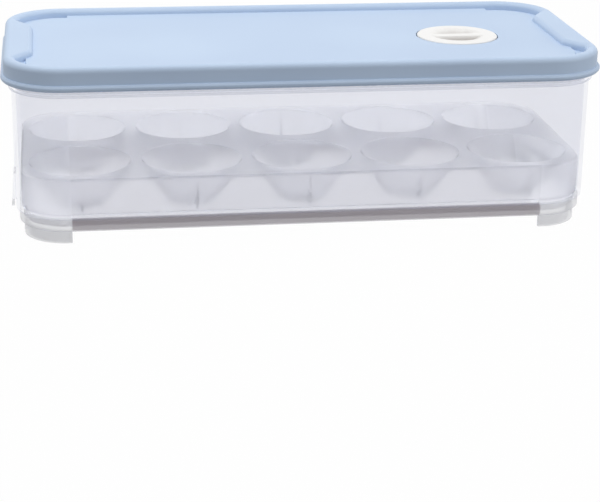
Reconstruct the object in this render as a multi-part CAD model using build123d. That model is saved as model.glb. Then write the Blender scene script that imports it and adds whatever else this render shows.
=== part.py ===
"""Egg keeper with a flip lid: a clear box, a lift-out tray of egg cups, a hinged lid and a turning dial.

Millimetres. X runs along the length, Y from front to back and Z up. The origin lies under the middle of
the box, on the surface that the feet stand on.
"""
from build123d import *
import math
import os

# Box body
BODY_LENGTH = 253.4
BODY_WIDTH = 113.0
BODY_CORNER = 22.0
BODY_WALL = 1.8
RIM_HEIGHT = 73.5
FOOT_HEIGHT = 5.5
FOOT_WALL = 1.8
FOOT_INSET = 3.2
FOOT_RUN = 1.7  # how far a foot runs on past the corner's curve
TIER_TOP = 11.2  # the walls step in below this height
TIER_INSET = 1.35
FLANGE_BELOW_RIM = 8.3
FLANGE_THICK = 1.2
FLANGE_REACH = 1.2
FLOOR_CHAMFER = 0.9
INNER_FLOOR_CHAMFER = 0.8
EDGE_BREAK = 0.4  # small chamfer on the moulded edges of the box and the dial

# Finger lips on the two ends
GRIP_LENGTH = 48.0
GRIP_TOP = 27.0
GRIP_LOW = 7.2
GRIP_REACH = 2.3
GRIP_THICK = 1.3
GRIP_CORNER = 3.0
GRIP_SWELL = 0.55  # share of the reach at half its height
GRIP_START = 0.3  # share of the reach at the height of the tier

# Lid
SKIRT_GAP = 1.0
SKIRT_WALL = 2.0
SKIRT_BELOW_RIM = 5.2
BEAD_REACH = 1.3
BEAD_HEIGHT = 2.7
BEAD_EASE_UP = 0.91  # the bead's chamfers, up its face and in towards the skirt
BEAD_EASE_IN = 0.78
LID_SEAT_GAP = 0.2
LID_PLATE = 2.0
RIDGE_HEIGHT = 2.9
RIDGE_WIDTH = 5.3
RIDGE_OUTER_ROUND = 2.6
RIDGE_INNER_EASE = 1.5  # chamfer on the ridge's inner edge, itself eased along both its sides
RIDGE_INNER_BREAK = 0.45
CORE_WIDTH = 1.6
CORE_HEIGHT = 2.9
LOBE_WIDTH = 7.2
LOBE_FLAT = 50.0
LOBE_SPREAD = 72.0
LOBE_ROUND = 6.0
LOBE_WALL = 2.0
LOCATOR_GAP = 0.6
LOCATOR_WALL = 1.4
LOCATOR_DEPTH = 3.3
LOCATOR_REAR_END = 25.0
GROOVE_DEPTH = 0.9
GROOVE_ROOM = 1.6  # room beside a foot that stands in the groove
GROOVE_WIDTH = 4.3

# Rear hinge
HINGE_X = 66.0
HINGE_OFF_WALL = 3.3
HINGE_BELOW_RIM = 11.0
PIN_RADIUS = 1.3
PIN_GAP = 0.06
HOOK_WALL = 1.24
HOOK_WIDTH = 12.0
HOOK_MOUTH = 2.0
HEEL = 2.4  # square corner of the hook, which meets the wall when the lid is fully open
EAR_THICK = 2.4
EAR_RADIUS = 2.4
EAR_GAP = 0.4
EAR_FLARE = 0.8  # how far an ear spreads each way where it meets the wall
NOTCH_DEPTH = 4.0  # cut through the rim flange behind each hook

# Dial
DIAL_FROM_END = 51.7
DIAL_RADIUS = 18.3
DIAL_GAP = 0.45
DIAL_THICK = 2.9
DIAL_SEAT_DEPTH = 3.2
DIAL_SEAT_WALL = 1.6
HOLLOW_WIDTH = 3.6  # a shallow hollow in the panel round the dial
HOLLOW_DEPTH = 0.35
HUB_RADIUS = 5.9
HUB_GAP = 0.1
HUB_WALL = 1.6
HUB_BELOW = 1.7
BARB_REACH = 0.9
BARB_GAP = 0.3
HUB_SLOT = 2.0
HUB_LEAD = 0.4  # taper at the tip of the hub, below its own radius
HUB_ROOF = 0.6  # solid left between the hub's slots and the disc
DISH_RADIUS = 12.2
DISH_FLOOR_RADIUS = 7.0
DISH_DEPTH = 2.2
BAR_TOP = 4.2
BAR_FOOT = 6.6
BAR_ROUND = 0.8
BAR_RUN_ON = 0.4  # how far the bar runs on past the dish

# Egg tray
TRAY_TOP = 28.7
TRAY_PLATE = 1.4
TRAY_GAP = 0.7
TRAY_SKIRT = 1.2
TRAY_CHAMFER = 0.7
CUP_MOUTH = 44.6
CUP_BASE = 20.0
CUP_DEPTH = 17.4
CUP_WALL = 1.2
CUP_CHAMFER = 1.2
CUP_LAND = 4.0  # least land left between two cups
LEG_GAP = 0.65
LEG_WALL = 1.3
LEG_FLOOR_GAP = 0.3
WEB_THICK = 1.0
WEB_TOP = 25.0
WEB_ABOVE_LEDGE = 0.5

# Room for the modelling itself
OVERLAP = 0.5  # how far a piece runs into the one that it joins
PAST = 1.0  # how far a cut runs on past the face that it opens
SLIVER = 0.1  # least thickness or depth that ties two outlines together

# Places that follow from the sizes above
HALF_X = BODY_LENGTH / 2
HALF_Y = BODY_WIDTH / 2
FLANGE_LOW = RIM_HEIGHT - FLANGE_BELOW_RIM
SKIRT_LOW = RIM_HEIGHT - SKIRT_BELOW_RIM
SKIRT_INNER = SKIRT_GAP
SKIRT_OUTER = SKIRT_GAP + SKIRT_WALL
PLATE_LOW = RIM_HEIGHT + LID_SEAT_GAP
PANEL_TOP = PLATE_LOW + LID_PLATE
LID_TOP = PANEL_TOP + RIDGE_HEIGHT
RIDGE_INNER = SKIRT_OUTER - RIDGE_WIDTH
HINGE_Y = HALF_Y + HINGE_OFF_WALL
HINGE_Z = RIM_HEIGHT - HINGE_BELOW_RIM
HOOK_RADIUS = PIN_RADIUS + PIN_GAP + HOOK_WALL
DIAL_X = HALF_X - DIAL_FROM_END
DIAL_FLOOR = PANEL_TOP - DIAL_SEAT_DEPTH
SEAT_LOW = DIAL_FLOOR - DIAL_SEAT_WALL
FLOOR_TOP = FOOT_HEIGHT + BODY_WALL
LEDGE_TOP = TIER_TOP + BODY_WALL
TRAY_EDGE = -BODY_WALL - TRAY_GAP
TRAY_INNER = TRAY_EDGE - TRAY_SKIRT
LEG_EDGE = -TIER_INSET - BODY_WALL - LEG_GAP


def slab(offset, low, high):
    """A block with the body's rounded plan, grown by offset all round, from one height to another."""
    plan = RectangleRounded(BODY_LENGTH + 2 * offset, BODY_WIDTH + 2 * offset, BODY_CORNER + offset)
    return Pos(0, 0, low) * extrude(plan, high - low)


def ring(outer, inner, low, high):
    """The band between two offsets of the body's plan."""
    return slab(outer, low, high) - slab(inner, low - PAST, high + PAST)


def corner_boxes(low, high):
    """Blocks over the four rounded corners, with the straight run that a foot or leg has past them."""
    reach = 2 * BODY_CORNER
    near_x = HALF_X - BODY_CORNER - FOOT_RUN
    near_y = HALF_Y - BODY_CORNER - FOOT_RUN
    boxes = []
    for side_x in (-1, 1):
        for side_y in (-1, 1):
            middle = Pos(side_x * (near_x + reach / 2), side_y * (near_y + reach / 2), (low + high) / 2)
            boxes.append(middle * Box(reach, reach, high - low))
    return Part() + boxes


def edges_at(shape, height):
    """The edges of a shape that lie flat at one height."""
    return [
        edge
        for edge in shape.edges()
        if abs(edge.bounding_box().min.Z - height) < 1e-4 and abs(edge.bounding_box().max.Z - height) < 1e-4
    ]


def outline_edges(shape, height, offset):
    """The edges at one height that lie on the body's plan grown by offset."""
    chosen = []
    for edge in edges_at(shape, height):
        middle = edge.position_at(0.5)
        gap_x = abs(middle.X) - (HALF_X - BODY_CORNER)
        gap_y = abs(middle.Y) - (HALF_Y - BODY_CORNER)
        reach = math.hypot(max(gap_x, 0), max(gap_y, 0)) + min(max(gap_x, gap_y), 0)
        if abs(reach - (BODY_CORNER + offset)) < 1e-3:
            chosen.append(edge)
    return chosen


def hinge_plan(shapes):
    """A profile drawn in Y and Z round the hinge line, as a sketch on a plane that faces along X."""
    return Plane((0, HINGE_Y, HINGE_Z), x_dir=(0, 1, 0), z_dir=(1, 0, 0)) * shapes


def across(profile, middle_x, width):
    """A profile on the hinge plane, extruded to a width about one place along X."""
    return Pos(middle_x - width / 2, 0, 0) * extrude(profile, width, dir=(1, 0, 0))


def end_grip():
    """The flared finger lip on the box's right end."""
    root = HALF_X - BODY_WALL / 2
    tip = HALF_X + GRIP_REACH
    face = Edge.make_three_point_arc(
        (HALF_X, 0, GRIP_TOP),
        (HALF_X + GRIP_SWELL * GRIP_REACH, 0, (GRIP_TOP + GRIP_LOW) / 2),
        (tip, 0, GRIP_LOW),
    )
    sides = Polyline(
        (tip, 0, GRIP_LOW),
        (tip - GRIP_THICK, 0, GRIP_LOW),
        (HALF_X + GRIP_START * GRIP_REACH, 0, TIER_TOP),
        (root, 0, TIER_TOP),
        (root, 0, GRIP_TOP),
        (HALF_X, 0, GRIP_TOP),
    )
    profile = make_face([face, *sides.edges()])
    grip = extrude(profile, GRIP_LENGTH / 2, dir=(0, 1, 0), both=True)
    corners = [e for e in grip.edges().filter_by(Axis.X) if abs(e.center().Z - GRIP_LOW) < 0.01]
    return fillet(corners, GRIP_CORNER)


def hinge_ears(middle_x):
    """Two ears on the back wall and the pin between them, for one hook of the lid."""
    root = -HINGE_OFF_WALL - BODY_WALL / 2
    foot = Pos(root, 0) * Rectangle(SLIVER, 2 * (EAR_RADIUS + EAR_FLARE))
    profile = hinge_plan(make_hull((Circle(EAR_RADIUS) + foot).edges()))
    ear_x = HOOK_WIDTH / 2 + EAR_GAP + EAR_THICK / 2
    pieces = [across(profile, middle_x + side * ear_x, EAR_THICK) for side in (-1, 1)]
    pin = across(hinge_plan(Circle(PIN_RADIUS)), middle_x, 2 * ear_x)
    return pieces + [pin]


def box_body():
    """The clear box: stepped walls, rim flange, four corner feet, end grips and hinge ears."""
    outside = slab(-TIER_INSET, FOOT_HEIGHT, TIER_TOP) + slab(0, TIER_TOP, RIM_HEIGHT)
    outside = chamfer(outline_edges(outside, FOOT_HEIGHT, -TIER_INSET), FLOOR_CHAMFER)
    outside = chamfer(outline_edges(outside, TIER_TOP, 0), EDGE_BREAK)
    outside += slab(FLANGE_REACH, FLANGE_LOW, FLANGE_LOW + FLANGE_THICK)
    floor_edge = -TIER_INSET - BODY_WALL
    inside = slab(floor_edge, FLOOR_TOP, LEDGE_TOP) + slab(-BODY_WALL, LEDGE_TOP, RIM_HEIGHT + PAST)
    inside = chamfer(outline_edges(inside, FLOOR_TOP, floor_edge), INNER_FLOOR_CHAMFER)
    feet = ring(-FOOT_INSET, -FOOT_INSET - FOOT_WALL, 0, FOOT_HEIGHT + BODY_WALL / 2)
    feet &= corner_boxes(0, FOOT_HEIGHT + BODY_WALL / 2)
    body = outside + feet
    grip = end_grip()
    body += [grip, mirror(grip, Plane.YZ)]
    for side in (-1, 1):
        notch = Box(HOOK_WIDTH + 2 * EAR_GAP, NOTCH_DEPTH, 2 * FLANGE_THICK)
        body -= Pos(side * HINGE_X, HALF_Y + NOTCH_DEPTH / 2, FLANGE_LOW + FLANGE_THICK / 2) * notch
        body += hinge_ears(side * HINGE_X)
    body -= inside
    rim = outline_edges(body, RIM_HEIGHT, -BODY_WALL) + outline_edges(body, RIM_HEIGHT, 0)
    return chamfer(rim, EDGE_BREAK)


def egg_cup(grow, top, low):
    """The tapered round of a cup, its wall moved out by grow, from its mouth to its base."""
    slope = (CUP_MOUTH - CUP_BASE) / 2 / CUP_DEPTH
    side = grow * math.sqrt(1 + slope * slope)
    mouth = CUP_MOUTH / 2 + side + slope * (top - TRAY_TOP)
    base = CUP_BASE / 2 + side + slope * (low - TRAY_TOP + CUP_DEPTH)
    return Pos(0, 0, low) * Cone(base, mouth, top - low, align=(Align.CENTER, Align.CENTER, Align.MIN))


def cup_places():
    """The middles of the cups: as many rows and columns as fit, evenly spaced in the tray."""
    length = BODY_LENGTH + 2 * TRAY_INNER
    width = BODY_WIDTH + 2 * TRAY_INNER
    columns = int(length // (CUP_MOUTH + CUP_LAND))
    rows = int(width // (CUP_MOUTH + CUP_LAND))
    pitch_x = length / columns
    pitch_y = width / rows
    return [
        (pitch_x * (column - (columns - 1) / 2), pitch_y * (row - (rows - 1) / 2))
        for row in range(rows)
        for column in range(columns)
    ]


def egg_tray():
    """The frosted tray: a plate of tapered cups with a skirt, four corner legs and webs."""
    plate = slab(TRAY_EDGE, TRAY_TOP - TRAY_PLATE, TRAY_TOP)
    skirt = ring(TRAY_EDGE, TRAY_INNER, LEDGE_TOP, TRAY_TOP)
    shell = chamfer(outline_edges(plate + skirt, TRAY_TOP, TRAY_EDGE), TRAY_CHAMFER)
    leg_low = FLOOR_TOP + LEG_FLOOR_GAP
    leg_top = TRAY_TOP - TRAY_PLATE / 2
    legs = ring(LEG_EDGE, LEG_EDGE - LEG_WALL, leg_low, leg_top) & corner_boxes(leg_low, leg_top)
    cup_low = TRAY_TOP - CUP_DEPTH
    outer = egg_cup(CUP_WALL, TRAY_TOP - TRAY_PLATE / 2, cup_low - CUP_WALL)
    inner = egg_cup(0, TRAY_TOP + PAST, cup_low)
    inner = chamfer(edges_at(inner, cup_low), CUP_CHAMFER)
    places = cup_places()
    webs = []
    web_low = LEDGE_TOP + WEB_ABOVE_LEDGE
    edge_y = HALF_Y + TRAY_INNER
    furthest = max(y for x, y in places)
    for x, y in places:
        if abs(abs(y) - furthest) > 1e-6:
            continue
        side = 1 if y > 0 else -1
        run = edge_y + TRAY_SKIRT / 2 - abs(y)
        web = Box(WEB_THICK, run, WEB_TOP - web_low)
        webs.append(Pos(x, side * (abs(y) + run / 2), (WEB_TOP + web_low) / 2) * web)
    tray = shell + legs + webs
    tray += [Pos(x, y, 0) * outer for x, y in places]
    tray -= [Pos(x, y, 0) * inner for x, y in places]
    return tray


def lobe_plan(shrink=0.0):
    """The raised lobe inside the lid's ridge at the right end, drawn from the ridge inwards."""
    root = HALF_X + RIDGE_INNER
    inner = root - LOBE_WIDTH + shrink
    outer = root + RIDGE_WIDTH / 2 if shrink == 0 else root - shrink / 4
    flat = LOBE_FLAT / 2 - shrink / 2
    spread = LOBE_SPREAD / 2 - shrink
    points = [(outer, -spread), (inner, -flat), (inner, flat), (outer, spread)]
    if shrink == 0:
        points = [points[0], (root, -spread), *points[1:3], (root, spread), points[3]]
    plan = Polygon(*points, align=None)
    tips = [v for v in plan.vertices() if abs(v.X - inner) < 0.01]
    return fillet(tips, LOBE_ROUND)


def hook():
    """One hinge hook in Y and Z: a ring round the pin, its arm up to the skirt and its square heel."""
    arm_in = SKIRT_INNER - HINGE_OFF_WALL
    arm_out = SKIRT_OUTER + BEAD_REACH - HINGE_OFF_WALL
    arm_top = SKIRT_LOW + BEAD_HEIGHT / 2 - HINGE_Z
    arm = Pos((arm_in + arm_out) / 2, arm_top / 2) * Rectangle(arm_out - arm_in, arm_top)
    heel = Pos(HEEL / 2, -HEEL / 2) * Rectangle(HEEL, HEEL)
    mouth = Pos(0, -HOOK_RADIUS) * Rectangle(HOOK_MOUTH, 2 * HOOK_RADIUS)
    return arm + Circle(HOOK_RADIUS) + heel - Circle(PIN_RADIUS + PIN_GAP) - mouth


def inner_top_edges(shell):
    """The edges along the top of the lid's ridge and lobes, without those of the ridge's outer round."""
    outer = outline_edges(shell, LID_TOP, SKIRT_OUTER - RIDGE_OUTER_ROUND)
    return [edge for edge in edges_at(shell, LID_TOP) if edge not in outer]


def lid():
    """The lid: panel, rounded ridge with two end lobes, skirt with its bead, dial seat and hinge hooks."""
    shell = slab(SKIRT_OUTER, SKIRT_LOW, LID_TOP)
    groove_low = PANEL_TOP - GROOVE_DEPTH
    lobe = Pos(0, 0, groove_low) * extrude(lobe_plan(), LID_TOP + PAST - groove_low, dir=(0, 0, 1))
    lobes = Part() + [lobe, mirror(lobe, Plane.YZ)]
    pocket = slab(RIDGE_INNER, PANEL_TOP, LID_TOP + PAST) - lobes
    shell -= pocket
    shell = fillet(outline_edges(shell, LID_TOP, SKIRT_OUTER), RIDGE_OUTER_ROUND)
    shell = chamfer(inner_top_edges(shell), RIDGE_INNER_EASE)
    eased = inner_top_edges(shell) + edges_at(shell, LID_TOP - RIDGE_INNER_EASE)
    shell = chamfer(eased, RIDGE_INNER_BREAK)

    # Grooves in the corners of the panel, for the feet of a keeper stacked on top
    groove = ring(RIDGE_INNER, RIDGE_INNER - GROOVE_WIDTH, groove_low, PANEL_TOP + OVERLAP) - lobes
    near_x = HALF_X - BODY_CORNER - FOOT_RUN - GROOVE_ROOM
    end_block = Box(2 * BODY_LENGTH, 2 * BODY_WIDTH, LID_TOP)
    for side in (-1, 1):
        shell -= groove & Pos(side * (near_x + BODY_LENGTH), 0, PANEL_TOP) * end_block

    bead = slab(SKIRT_OUTER + BEAD_REACH, SKIRT_LOW, SKIRT_LOW + BEAD_HEIGHT)
    bead_edges = []
    for height in (SKIRT_LOW, SKIRT_LOW + BEAD_HEIGHT):
        bead_edges += outline_edges(bead, height, SKIRT_OUTER + BEAD_REACH)
    shell += chamfer(bead_edges, BEAD_EASE_UP, BEAD_EASE_IN)
    hooks = [across(hinge_plan(hook()), side * HINGE_X, HOOK_WIDTH) for side in (-1, 1)]
    shell += hooks

    shell -= slab(SKIRT_INNER, SKIRT_LOW - PAST, PLATE_LOW)
    core_low = PLATE_LOW - OVERLAP
    core_top = PLATE_LOW + CORE_HEIGHT
    shell -= ring(SKIRT_INNER, SKIRT_INNER - CORE_WIDTH, core_low, core_top)
    core = Pos(0, 0, core_low) * extrude(lobe_plan(LOBE_WALL), core_top - core_low, dir=(0, 0, 1))
    shell -= [core, mirror(core, Plane.YZ)]

    locator_edge = -BODY_WALL - LOCATOR_GAP
    locator_low = PLATE_LOW - LOCATOR_DEPTH
    locator = ring(locator_edge, locator_edge - LOCATOR_WALL, locator_low, PLATE_LOW + OVERLAP)
    front = Pos(0, LOCATOR_REAR_END - BODY_WIDTH, PLATE_LOW) * Box(2 * BODY_LENGTH, 2 * BODY_WIDTH, LID_TOP)
    shell += locator & front

    bottom = (Align.CENTER, Align.CENTER, Align.MIN)
    seat_radius = DIAL_RADIUS + DIAL_GAP
    seat = Cylinder(seat_radius + DIAL_SEAT_WALL, PLATE_LOW + OVERLAP - SEAT_LOW, align=bottom)
    shell += Pos(DIAL_X, 0, SEAT_LOW) * seat
    hollow = Cone(seat_radius, seat_radius + HOLLOW_WIDTH, HOLLOW_DEPTH, align=bottom)
    shell -= Pos(DIAL_X, 0, PANEL_TOP - HOLLOW_DEPTH) * hollow
    shell -= Pos(DIAL_X, 0, DIAL_FLOOR) * Cylinder(seat_radius, DIAL_SEAT_DEPTH + PAST, align=bottom)
    hub_hole = Cylinder(HUB_RADIUS + HUB_GAP, DIAL_SEAT_WALL + 2 * PAST, align=bottom)
    shell -= Pos(DIAL_X, 0, SEAT_LOW - PAST) * hub_hole
    return shell


def dial_knob():
    """The turning dial: a disc dished on both sides of a finger bar, and a split hub that snaps through."""
    bottom = (Align.CENTER, Align.CENTER, Align.MIN)
    disc = Cylinder(DIAL_RADIUS, DIAL_THICK, align=bottom)
    disc = chamfer(edges_at(disc, DIAL_THICK), EDGE_BREAK)
    dish_low = DIAL_THICK - DISH_DEPTH
    disc -= Pos(0, 0, dish_low) * Cone(DISH_FLOOR_RADIUS, DISH_RADIUS, DISH_DEPTH, align=bottom)
    profile = Polygon(
        (-BAR_FOOT / 2, dish_low - SLIVER),
        (BAR_FOOT / 2, dish_low - SLIVER),
        (BAR_TOP / 2, DIAL_THICK),
        (-BAR_TOP / 2, DIAL_THICK),
        align=None,
    )
    bar = extrude(Plane.YZ * profile, DISH_RADIUS + BAR_RUN_ON, both=True)
    bar = fillet([e for e in edges_at(bar, DIAL_THICK) if abs(e.center().X) < 1], BAR_ROUND)
    disc += bar

    disc_low = PANEL_TOP - DIAL_THICK
    hub_low = SEAT_LOW - HUB_BELOW
    barb_top = SEAT_LOW - BARB_GAP
    hub = Cylinder(HUB_RADIUS, disc_low + OVERLAP - hub_low, align=bottom)
    barb = Cone(HUB_RADIUS - HUB_LEAD, HUB_RADIUS + BARB_REACH, barb_top - hub_low, align=bottom)
    hub += barb
    hub -= Pos(0, 0, -PAST) * Cylinder(HUB_RADIUS - HUB_WALL, disc_low - hub_low + PAST, align=bottom)
    slot_height = disc_low - hub_low - HUB_ROOF
    for turn in (0, 90):
        hub -= Rot(0, 0, turn) * Box(HUB_SLOT, 4 * HUB_RADIUS, slot_height, align=bottom)
    knob = Pos(0, 0, disc_low) * disc + Pos(0, 0, hub_low) * hub
    return Pos(DIAL_X, 0, 0) * knob


PARTS = {"box_body": box_body, "egg_tray": egg_tray, "lid": lid, "dial_knob": dial_knob}

if __name__ == "__main__":
    os.makedirs("parts", exist_ok=True)
    for name, make in PARTS.items():
        export_step(make(), f"parts/{name}.step")
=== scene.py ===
import math

import bpy
from mathutils import Matrix, Vector


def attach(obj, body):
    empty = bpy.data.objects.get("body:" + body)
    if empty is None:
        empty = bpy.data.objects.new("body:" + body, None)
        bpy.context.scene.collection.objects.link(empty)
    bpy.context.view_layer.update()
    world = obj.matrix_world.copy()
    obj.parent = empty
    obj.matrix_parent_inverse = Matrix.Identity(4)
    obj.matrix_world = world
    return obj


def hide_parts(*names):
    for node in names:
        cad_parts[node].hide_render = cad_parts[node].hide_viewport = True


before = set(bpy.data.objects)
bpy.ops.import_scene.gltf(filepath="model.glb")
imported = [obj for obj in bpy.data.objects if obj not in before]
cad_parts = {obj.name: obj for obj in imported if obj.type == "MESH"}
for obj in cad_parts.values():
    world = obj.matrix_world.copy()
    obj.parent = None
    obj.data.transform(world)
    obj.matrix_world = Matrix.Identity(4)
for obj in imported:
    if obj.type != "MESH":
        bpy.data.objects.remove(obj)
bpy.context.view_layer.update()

bl_info = {
    "name": "Egg keeper with flip lid",
    "version": (1, 0, 0),
    "blender": (4, 5, 0),
    "location": "3D View > Sidebar > Egg Keeper",
    "description": "Finishes a clear egg keeper with a pastel lid, a frosted tray and a turning dial",
    "category": "Object",
}

MM = 0.001

# heights above the surface that the keeper stands on
FOOT_TOP = 5.5 * MM  # the feet end and the floor begins here
TIER_TOP = 11.2 * MM  # the walls step out to their full width here
FLANGE_LOW = 64.9 * MM  # the flange stands out from the walls here
RIM_TOP = 73.5 * MM
WELL_FLOOR = 73.5 * MM  # the floor of the dial's finger wells
WELL_TOP = 75.3 * MM
UNDER_WELL = 0.3 * MM  # this far below the floor of the wells the painted shade ends and the plastic is white again

# where one finish passes into the next
FOOT_INNER_X = 103.0 * MM  # from the middle to the inner edge of each foot and of the tray's legs
BLEND = 0.3 * MM  # half the width of the passage
LEVEL_FACES = (0.5, 0.8)  # the upward part of the normal: less is a wall, more is a level face

# haze against clear plastic, from 0 for clear to 1 for milky
FOOT_HAZE = 0.41
# the lower tier's haze is high so that its grey painted shade shows
TIER_HAZE = 0.8
WALL_HAZE = 0.088
RIM_HAZE = 0.26
TRAY_HAZE = (0.78, 0.86)  # in the middle, and beyond FOOT_INNER_X
TRAY_LIGHT = (0.943, 0.93)  # how much light passes through that haze, at the same two places
FLAT_SHARE = 0.2  # how much of the walls' haze the level faces have
EDGE_ON_GAIN = 1.5  # how much more haze a wall shows edge-on than face-on
EDGE_ON_BLEND = 0.35  # below 0.5, the haze grows only close to edge-on

# how smooth each skin is, from 0 for a mirror to 1 for chalk
NOISE_REACH = (0.3, 0.7)  # where nearly all values of a noise pattern lie
BOX_ROUGHNESS = (0.04, 0.1)
TRAY_ROUGHNESS = (0.52, 0.64)
DIAL_ROUGHNESS = (0.26, 0.36)
LID_ROUGHNESS = 0.5
PAPER_ROUGHNESS = 0.5

# width of the soft patches in each plastic, in millimetres
LID_FLOW = 60
BOX_CLOUD = 45
TRAY_CLOUD = 20
DIAL_FLOW = 12
LID_FLOW_REACH = (0.35, 0.65)  # where the lid's shade begins to pass into its own colour, and where it ends

# width and height of the grain that each tool leaves, in millimetres, drawn coarser so that it shows
LID_GRAIN = (0.5, 0.004)  # spark erosion really leaves a grain near 0.1 mm
DIAL_GRAIN = (0.4, 0.002)  # the polishing marks are really finer than 0.05 mm

# stage
IMAGE_WIDTH = 600  # pixels, across the picture that the focal length is given for
SENSOR_WIDTH = 36.0  # millimetres
CLIP = (0.01, 20.0)  # nearest and furthest that the camera sees
FLOOR_SIZE = 6.0
FLOOR_GLOW = 0.99  # the rest of the floor's look is paper, which keeps a soft shadow
WHITE = (1, 1, 1, 1)
KEY_LAMP = {"place": (-0.1, 0.1, 0.9), "target": (0, 0, 0.05), "size": 0.9}
FILL_LAMP = {"place": (0.9, -0.45, 0.3), "target": (0.05, 0, 0.05), "size": 0.5}

# edges
MERGE_WITHIN = 0.002 * MM  # corners of one moulding nearer than this are the same corner
FLAT_WITHIN = math.radians(0.6)  # faces that turn less than this are one flat face
SMOOTH_WITHIN = math.radians(35)  # edges that turn less than this are shaded smooth
EDGE_SEGMENTS = 2


def linear(code):
    """An sRGB hex colour as linear red, green, blue and alpha."""
    parts = [int(code[i : i + 2], 16) / 255 for i in (1, 3, 5)]
    return tuple(c / 12.92 if c <= 0.04045 else ((c + 0.055) / 1.055) ** 2.4 for c in parts) + (1.0,)


def add_node(tree, kind, values=None, links=None, **settings):
    """Adds one shader node, sets its settings and input values, and links sockets into its inputs."""
    node = tree.nodes.new(kind)
    for name, value in settings.items():
        setattr(node, name, value)
    for key, value in (values or {}).items():
        node.inputs[key].default_value = value
    for key, socket in (links or {}).items():
        tree.links.new(socket, node.inputs[key])
    return node


def new_material(name):
    """An empty material with its output node."""
    material = bpy.data.materials.new(name)
    material.use_nodes = True
    material.node_tree.nodes.clear()
    output = add_node(material.node_tree, "ShaderNodeOutputMaterial")
    return material, material.node_tree, output


def object_position(tree):
    """Object coordinates, in metres."""
    return add_node(tree, "ShaderNodeTexCoord").outputs["Object"]


def patches(tree, width_mm, detail, roughness=0.5):
    """A soft random pattern from 0 to 1, with patches about width_mm wide."""
    return add_node(
        tree,
        "ShaderNodeTexNoise",
        {"Scale": 1 / (width_mm * MM), "Detail": detail, "Roughness": roughness},
        {"Vector": object_position(tree)},
    ).outputs["Fac"]


def mapped(tree, value, to, reach=(0.0, 1.0)):
    """A number carried from the range reach to the range to, and held at its ends."""
    return add_node(
        tree,
        "ShaderNodeMapRange",
        {"From Min": reach[0], "From Max": reach[1], "To Min": to[0], "To Max": to[1]},
        {"Value": value},
    ).outputs["Result"]


def worked_out(tree, operation, first, second=None, **settings):
    """The result of one sum on one or two numbers."""
    links = {0: first} if second is None else {0: first, 1: second}
    return add_node(tree, "ShaderNodeMath", links=links, operation=operation, **settings).outputs["Value"]


def mixed(tree, share, none, full):
    """One shader where the share is 0, passing into another where it is 1."""
    return add_node(tree, "ShaderNodeMixShader", links={0: share, 1: none, 2: full}).outputs["Shader"]


def tool_grain(tree, grain):
    """The normal of a moulded surface with the fine grain that the tool leaves on it."""
    width_mm, height_mm = grain
    return add_node(
        tree,
        "ShaderNodeBump",
        {"Strength": 1.0, "Distance": height_mm * MM},
        {"Height": patches(tree, width_mm, 2.0, 0.6)},
    ).outputs["Normal"]


def polypropylene_lid(colours):
    """Polypropylene coloured right through and moulded against a spark-eroded tool.

    It gives an even pastel with wide, soft highlights along the rounded edges and no mirror reflections.
    """
    material, tree, output = new_material("polypropylene_matte_moulded")
    tint = add_node(tree, "ShaderNodeValToRGB", links={"Fac": patches(tree, LID_FLOW, 1.0)})
    shades = (linear(colours.lid_shade), linear(colours.lid))
    for element, position, colour in zip(tint.color_ramp.elements, LID_FLOW_REACH, shades):
        element.position = position
        element.color = colour
    shader = add_node(
        tree,
        "ShaderNodeBsdfPrincipled",
        {"Roughness": LID_ROUGHNESS, "IOR": 1.49, "Specular IOR Level": 0.4},
        {"Base Color": tint.outputs["Color"], "Normal": tool_grain(tree, LID_GRAIN)},
    )
    tree.links.new(shader.outputs["BSDF"], output.inputs["Surface"])
    return material


def away_from_middle(tree):
    """0 along the keeper's middle and 1 beyond the inner edges of its feet, and the height, in metres."""
    apart = add_node(tree, "ShaderNodeSeparateXYZ", links={"Vector": object_position(tree)})
    out = worked_out(tree, "ABSOLUTE", apart.outputs["X"])
    beyond = mapped(tree, out, (0.0, 1.0), (FOOT_INNER_X - BLEND, FOOT_INNER_X + BLEND))
    return beyond, apart.outputs["Z"]


def by_zone(tree, foot, tier, wall, rim):
    """A colour for each part of the box: feet and the corners over them, lower tier with its painted shade,
    walls, and rim.
    """
    beyond, up = away_from_middle(tree)
    height = mapped(tree, up, (0.0, 1.0), (0.0, RIM_TOP))
    middle_stops = ((0.0, foot), (FOOT_TOP, tier), (TIER_TOP, wall), (FLANGE_LOW, rim))
    corner_stops = ((0.0, foot), (TIER_TOP, wall), (FLANGE_LOW, rim))
    ramps = []
    for zones in (middle_stops, corner_stops):
        ramp = add_node(tree, "ShaderNodeValToRGB", links={"Fac": height})
        stops = [(0.0, zones[0][1])]
        for (_, below), (start, above) in zip(zones, zones[1:]):
            stops += [((start - BLEND) / RIM_TOP, below), ((start + BLEND) / RIM_TOP, above)]
        for position, _ in stops[2:]:
            ramp.color_ramp.elements.new(position)
        for element, (position, colour) in zip(ramp.color_ramp.elements, stops):
            element.position = position
            element.color = colour
        ramps.append(ramp.outputs["Color"])
    return add_node(
        tree, "ShaderNodeMixRGB", links={"Fac": beyond, "Color1": ramps[0], "Color2": ramps[1]}
    ).outputs["Color"]


def standing_up(tree):
    """1 on upright faces and FLAT_SHARE on level ones, because the floor is polished and has no etch."""
    normal = add_node(tree, "ShaderNodeTexCoord").outputs["Normal"]
    facing = add_node(tree, "ShaderNodeSeparateXYZ", links={"Vector": normal})
    return mapped(tree, worked_out(tree, "ABSOLUTE", facing.outputs["Z"]), (1.0, FLAT_SHARE), LEVEL_FACES)


def grey(share):
    """A plain share from 0 to 1 as a colour, for a ramp that drives a number."""
    return (share, share, share, 1.0)


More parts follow.
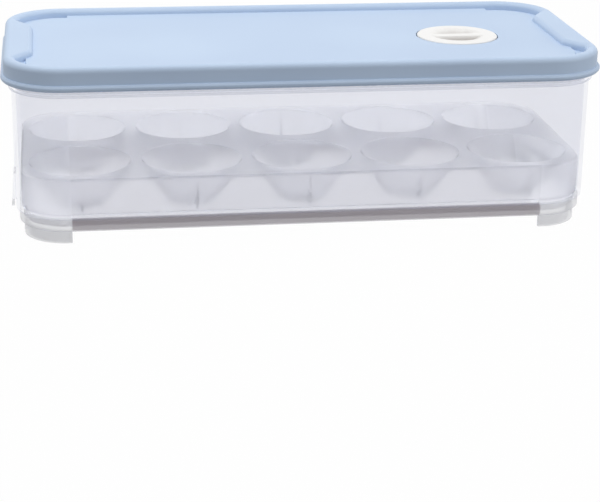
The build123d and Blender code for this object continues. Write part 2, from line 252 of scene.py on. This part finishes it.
def hazy_film(tree, film, tint, share):
    """Clear plastic with a film of haze: seen through where the share is low, milky where it is high.

    Edge-on there is more plastic in the way, so the haze grows.
    """
    clear = add_node(tree, "ShaderNodeBsdfTransparent", {"Color": tint}).outputs["BSDF"]
    edge_on = add_node(tree, "ShaderNodeLayerWeight", {"Blend": EDGE_ON_BLEND}).outputs["Facing"]
    thick = mapped(tree, edge_on, (1.0, EDGE_ON_GAIN))
    haze = worked_out(tree, "MULTIPLY", share, thick, use_clamp=True)
    body = mixed(tree, haze, clear, film.outputs["BSDF"])
    # the haze casts no shadow, so that the lamps reach what is inside
    shadow = add_node(tree, "ShaderNodeLightPath").outputs["Is Shadow Ray"]
    return mixed(tree, shadow, body, clear)


def clear_box_plastic(colours):
    """Clear polystyrene moulded in a polished tool, with a fine etch on its feet and a grey painted shade on
    its lower tier.

    The walls let what is behind them show with a slight haze; the feet are milky and the tier is painted
    greyer as shade.
    """
    material, tree, output = new_material("polystyrene_clear_moulded")
    rough = mapped(tree, patches(tree, BOX_CLOUD, 2.0), BOX_ROUGHNESS, NOISE_REACH)
    # the lower tier's colour is a painted shade, for the dark space under the tray
    feet, tier, walls = linear(colours.feet), linear(colours.tier), linear(colours.box)
    film = add_node(
        tree,
        "ShaderNodeBsdfPrincipled",
        {"IOR": 1.5},
        {"Base Color": by_zone(tree, feet, tier, walls, walls), "Roughness": rough},
    )
    zones = by_zone(tree, grey(FOOT_HAZE), grey(TIER_HAZE), grey(WALL_HAZE), grey(RIM_HAZE))
    share = worked_out(tree, "MULTIPLY", zones, standing_up(tree))
    haze = hazy_film(tree, film, linear(colours.box_through), share)
    tree.links.new(haze, output.inputs["Surface"])
    return material


def frosted_tray_plastic(colours):
    """Natural polypropylene moulded thin in a textured tool.

    It is milky: forms behind it show as soft, pale shapes.
    """
    material, tree, output = new_material("polypropylene_natural_frosted")
    rough = mapped(tree, patches(tree, TRAY_CLOUD, 3.0), TRAY_ROUGHNESS, NOISE_REACH)
    beyond, _ = away_from_middle(tree)
    film = add_node(
        tree,
        "ShaderNodeBsdfPrincipled",
        # a thin wall hardly bends light, so its IOR is near that of air
        {"Base Color": linear(colours.tray), "IOR": 1.08},
        {"Roughness": rough, "Transmission Weight": mapped(tree, beyond, TRAY_LIGHT)},
    )
    haze = hazy_film(tree, film, linear(colours.tray_through), mapped(tree, beyond, TRAY_HAZE))
    tree.links.new(haze, output.inputs["Surface"])
    return material


def white_dial_plastic(colours):
    """White ABS moulded in a finely polished tool.

    It is an opaque white with a tight soft sheen on its bar and rim, and a warmer grey painted down in its
    wells as shade.
    """
    material, tree, output = new_material("abs_white_satin_moulded")
    apart = add_node(tree, "ShaderNodeSeparateXYZ", links={"Vector": object_position(tree)})
    depth = mapped(tree, apart.outputs["Z"], (0.0, 1.0), (WELL_FLOOR - UNDER_WELL, WELL_TOP))
    # painted shade: a warmer grey at the floor of the wells, passing back into white at their top and just
    # below their floor
    tint = add_node(tree, "ShaderNodeValToRGB", links={"Fac": depth})
    tint.color_ramp.elements[0].color = linear(colours.dial)
    tint.color_ramp.elements[1].color = linear(colours.dial)
    floor_stop = UNDER_WELL / (WELL_TOP - WELL_FLOOR + UNDER_WELL)
    tint.color_ramp.elements.new(floor_stop).color = linear(colours.dial_well_shade)
    shader = add_node(
        tree,
        "ShaderNodeBsdfPrincipled",
        {"IOR": 1.52},
        {
            "Base Color": tint.outputs["Color"],
            "Roughness": mapped(tree, patches(tree, DIAL_FLOW, 1.0), DIAL_ROUGHNESS),
            "Normal": tool_grain(tree, DIAL_GRAIN),
        },
    )
    tree.links.new(shader.outputs["BSDF"], output.inputs["Surface"])
    return material


def paint(piece, material):
    """Gives a piece one material all over."""
    piece.data.materials.clear()
    piece.data.materials.append(material)


def softened(name, node, body, width, angle):
    """A copy of a moulding with its sharp edges rounded, standing for the plain one it was made from."""
    piece = bpy.data.objects.new(name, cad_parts[node].data.copy())
    piece.data.name = name
    bpy.context.scene.collection.objects.link(piece)
    bpy.ops.object.select_all(action="DESELECT")
    piece.select_set(True)
    bpy.context.view_layer.objects.active = piece
    bpy.ops.object.mode_set(mode="EDIT")
    bpy.ops.mesh.select_all(action="SELECT")
    bpy.ops.mesh.remove_doubles(threshold=MERGE_WITHIN)
    bpy.ops.mesh.customdata_custom_splitnormals_clear()
    bpy.ops.mesh.dissolve_limited(angle_limit=FLAT_WITHIN)
    bpy.ops.object.mode_set(mode="OBJECT")
    bevel = piece.modifiers.new("rounded_edges", "BEVEL")
    bevel.width = width
    bevel.segments = EDGE_SEGMENTS
    bevel.limit_method = "ANGLE"
    bevel.angle_limit = angle
    bpy.ops.object.modifier_apply(modifier=bevel.name)
    bpy.ops.object.shade_smooth_by_angle(angle=SMOOTH_WITHIN)
    level = piece.modifiers.new("flat_faces_stay_flat", "WEIGHTED_NORMAL")
    level.keep_sharp = True
    bpy.ops.object.modifier_apply(modifier=level.name)
    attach(piece, body)
    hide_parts(node)
    return piece


def seen_directly(tree):
    """1 for camera, mirror and see-through rays, 0 for the rays that light matt surfaces."""
    ray = add_node(tree, "ShaderNodeLightPath").outputs
    camera_or_mirror = worked_out(tree, "MAXIMUM", ray["Is Camera Ray"], ray["Is Glossy Ray"])
    return worked_out(tree, "MAXIMUM", camera_or_mirror, ray["Is Transmission Ray"])


def white_backdrop_world(world, strength):
    """Soft light from all round; what looks straight, by reflection or through clear plastic sees white."""
    world.use_nodes = True
    tree = world.node_tree
    tree.nodes.clear()
    light, white = (
        add_node(tree, "ShaderNodeBackground", {"Color": WHITE, "Strength": level}).outputs["Background"]
        for level in (strength, 1.0)
    )
    surface = mixed(tree, seen_directly(tree), light, white)
    add_node(tree, "ShaderNodeOutputWorld", links={"Surface": surface})


def pale_floor(colours):
    """A matt sheet of paper that looks white but keeps a soft part of the object's shadow."""
    material, tree, output = new_material("paper_sweep_matt")
    paper = add_node(
        tree, "ShaderNodeBsdfDiffuse", {"Color": linear(colours.floor), "Roughness": PAPER_ROUGHNESS}
    )
    glow = add_node(tree, "ShaderNodeEmission", {"Color": WHITE, "Strength": 1.0})
    share = mapped(tree, seen_directly(tree), (0.0, FLOOR_GLOW))
    surface = mixed(tree, share, paper.outputs["BSDF"], glow.outputs["Emission"])
    tree.links.new(surface, output.inputs["Surface"])
    return material


def area_lamp(name, power, place, target, size):
    """A soft square lamp at a place, facing a target."""
    light = bpy.data.lights.new(name, "AREA")
    light.shape = "SQUARE"
    light.size = size
    light.energy = power
    lamp = bpy.data.objects.new(name, light)
    bpy.context.scene.collection.objects.link(lamp)
    lamp.location = place
    lamp.rotation_euler = (Vector(target) - Vector(place)).to_track_quat("-Z", "Y").to_euler()


def aimed_camera(settings):
    """A camera that looks at the target from the set azimuth, elevation and distance."""
    data = bpy.data.cameras.new("camera")
    data.sensor_width = SENSOR_WIDTH
    data.sensor_fit = "HORIZONTAL"
    data.lens = SENSOR_WIDTH * settings.focal_pixels / IMAGE_WIDTH
    data.clip_start, data.clip_end = CLIP
    camera = bpy.data.objects.new("camera", data)
    bpy.context.scene.collection.objects.link(camera)
    flat = math.cos(settings.elevation)
    away = Vector(
        (
            math.sin(settings.azimuth) * flat,
            -math.cos(settings.azimuth) * flat,
            math.sin(settings.elevation),
        )
    )
    turn = (-away).to_track_quat("-Z", "Y").to_matrix() @ Matrix.Rotation(settings.roll, 3, "Z")
    camera.location = Vector(settings.target) + away * settings.distance
    camera.rotation_euler = turn.to_euler()
    return camera


class KeeperColours(bpy.types.PropertyGroup):
    """The colour of each plastic and of the floor"""

    lid: bpy.props.StringProperty(
        name="Lid", description="Colour of the lid, as sRGB hex", default="#C3D6EE"
    )
    lid_shade: bpy.props.StringProperty(
        name="Lid shade", description="Colour where the lid's plastic flowed last", default="#BFD2EB"
    )
    box: bpy.props.StringProperty(
        name="Box", description="Colour of the haze in the clear walls", default="#DCE4FB"
    )
    box_through: bpy.props.StringProperty(
        name="Light through box", description="Tint of what is seen through the box", default="#FEFEFF"
    )
    # painted shade: the grey that the box's lower tier is tinted, for the dark space under the tray
    tier: bpy.props.StringProperty(
        name="Lower tier", description="Tint of the box's lower tier", default="#C6BEC5"
    )
    feet: bpy.props.StringProperty(
        name="Feet", description="Tint of the box's feet", default="#F6F7FB"
    )
    tray: bpy.props.StringProperty(
        name="Tray", description="Colour of the frosted tray", default="#FEFEFF"
    )
    tray_through: bpy.props.StringProperty(
        name="Light through tray", description="Tint of what is seen through the tray", default="#FFFFFF"
    )
    dial: bpy.props.StringProperty(name="Dial", description="Colour of the dial", default="#F4F3F1")
    # painted shade: the colour that the bottom of the dial's wells is darkened to
    dial_well_shade: bpy.props.StringProperty(
        name="Dial wells", description="Colour at the bottom of the dial's wells", default="#C4BFBB"
    )
    floor: bpy.props.StringProperty(name="Floor", description="Colour of the floor", default="#A8A8A8")


class KeeperEdges(bpy.types.PropertyGroup):
    """How the sharp edges of each moulding are rounded"""

    lid: bpy.props.FloatProperty(
        name="Lid", description="Width of the rounding on the lid's edges", default=0.35 * MM, unit="LENGTH"
    )
    box: bpy.props.FloatProperty(
        name="Box", description="Width of the rounding on the box's edges", default=0.25 * MM, unit="LENGTH"
    )
    tray: bpy.props.FloatProperty(
        name="Tray", description="Width of the rounding on the tray's edges", default=0.4 * MM, unit="LENGTH"
    )
    dial: bpy.props.FloatProperty(
        name="Dial", description="Width of the rounding on its edges", default=0.25 * MM, unit="LENGTH"
    )
    sharpest: bpy.props.FloatProperty(
        name="Least turn",
        description="An edge that turns more than this is rounded",
        default=math.radians(25),
        subtype="ANGLE",
    )


class StageSettings(bpy.types.PropertyGroup):
    """The camera and the lights"""

    azimuth: bpy.props.FloatProperty(
        name="Azimuth",
        description="Turn of the camera from the front",
        default=math.radians(-8.462),
        subtype="ANGLE",
    )
    elevation: bpy.props.FloatProperty(
        name="Elevation",
        description="Height of the camera's direction",
        default=math.radians(20.121),
        subtype="ANGLE",
    )
    roll: bpy.props.FloatProperty(
        name="Roll",
        description="Turn of the camera about its own line of sight",
        default=math.radians(0.796),
        subtype="ANGLE",
    )
    distance: bpy.props.FloatProperty(
        name="Distance", description="From the camera to its target", default=0.80944, unit="LENGTH"
    )
    target: bpy.props.FloatVectorProperty(
        name="Target",
        description="Point that the camera looks at",
        default=(0.0037, 0.0, -0.0272),
        subtype="TRANSLATION",
    )
    focal_pixels: bpy.props.FloatProperty(
        name="Focal length", description="Focal length as a number of image pixels", default=1711.5
    )
    key_power: bpy.props.FloatProperty(
        name="Key light", description="Power of the lamp overhead", default=5.1, unit="POWER"
    )
    fill_power: bpy.props.FloatProperty(
        name="Fill light", description="Power of the lamp at the right", default=1.6, unit="POWER"
    )
    sky: bpy.props.FloatProperty(
        name="Sky light", description="Strength of the surrounding light", default=0.46
    )


class KEEPER_OT_lid(bpy.types.Operator):
    """Finish the lid"""

    bl_idname = "keeper.lid"
    bl_label = "Lid"

    def execute(self, context):
        edges = context.scene.keeper_edges
        piece = softened("lid_moulding", "lid", "lid", edges.lid, edges.sharpest)
        paint(piece, polypropylene_lid(context.scene.keeper_colours))
        return {"FINISHED"}


class KEEPER_OT_box(bpy.types.Operator):
    """Finish the clear box"""

    bl_idname = "keeper.box"
    bl_label = "Box"

    def execute(self, context):
        edges = context.scene.keeper_edges
        piece = softened("clear_box_moulding", "box_body", "box", edges.box, edges.sharpest)
        paint(piece, clear_box_plastic(context.scene.keeper_colours))
        return {"FINISHED"}


class KEEPER_OT_tray(bpy.types.Operator):
    """Finish the egg tray"""

    bl_idname = "keeper.tray"
    bl_label = "Tray"

    def execute(self, context):
        edges = context.scene.keeper_edges
        piece = softened(
            "egg_tray_moulding", "egg_tray", "tray", edges.tray, edges.sharpest
        )
        paint(piece, frosted_tray_plastic(context.scene.keeper_colours))
        return {"FINISHED"}


class KEEPER_OT_dial(bpy.types.Operator):
    """Finish the turning dial"""

    bl_idname = "keeper.dial"
    bl_label = "Dial"

    def execute(self, context):
        edges = context.scene.keeper_edges
        piece = softened("dial_moulding", "dial_knob", "dial", edges.dial, edges.sharpest)
        paint(piece, white_dial_plastic(context.scene.keeper_colours))
        return {"FINISHED"}


class KEEPER_OT_stage(bpy.types.Operator):
    """Lay the floor, light it and set up the camera"""

    bl_idname = "keeper.stage"
    bl_label = "Stage"

    def execute(self, context):
        scene = context.scene
        settings = scene.keeper_stage
        bpy.ops.object.select_all(action="DESELECT")
        bpy.ops.mesh.primitive_plane_add(size=FLOOR_SIZE, location=(0, 0, 0))
        floor = context.active_object
        floor.name = "floor"
        paint(floor, pale_floor(scene.keeper_colours))
        world = bpy.data.worlds.new("soft_surround")
        scene.world = world
        white_backdrop_world(world, settings.sky)
        area_lamp("key_overhead", settings.key_power, **KEY_LAMP)
        area_lamp("fill_right", settings.fill_power, **FILL_LAMP)
        scene.camera = aimed_camera(settings)
        scene.view_settings.view_transform = "Standard"
        return {"FINISHED"}


class KEEPER_PT_panel(bpy.types.Panel):
    """Lists the keeper's pieces and its stage"""

    bl_idname = "KEEPER_PT_panel"
    bl_label = "Egg keeper"
    bl_space_type = "VIEW_3D"
    bl_region_type = "UI"
    bl_category = "Egg Keeper"

    def draw(self, context):
        for operator in OPERATORS:
            self.layout.operator(operator.bl_idname)


OPERATORS = (KEEPER_OT_lid, KEEPER_OT_box, KEEPER_OT_tray, KEEPER_OT_dial, KEEPER_OT_stage)
CLASSES = (KeeperColours, KeeperEdges, StageSettings, *OPERATORS, KEEPER_PT_panel)


def register():
    """Adds the keeper's classes and settings to Blender."""
    for cls in CLASSES:
        bpy.utils.register_class(cls)
    bpy.types.Scene.keeper_colours = bpy.props.PointerProperty(type=KeeperColours)
    bpy.types.Scene.keeper_edges = bpy.props.PointerProperty(type=KeeperEdges)
    bpy.types.Scene.keeper_stage = bpy.props.PointerProperty(type=StageSettings)


def unregister():
    """Takes them out again."""
    del bpy.types.Scene.keeper_stage
    del bpy.types.Scene.keeper_edges
    del bpy.types.Scene.keeper_colours
    for cls in reversed(CLASSES):
        bpy.utils.unregister_class(cls)


def main():
    """Builds the whole keeper and its stage."""
    register()
    bpy.ops.keeper.lid()
    bpy.ops.keeper.box()
    bpy.ops.keeper.tray()
    bpy.ops.keeper.dial()
    bpy.ops.keeper.stage()


if __name__ == "__main__":
    main()
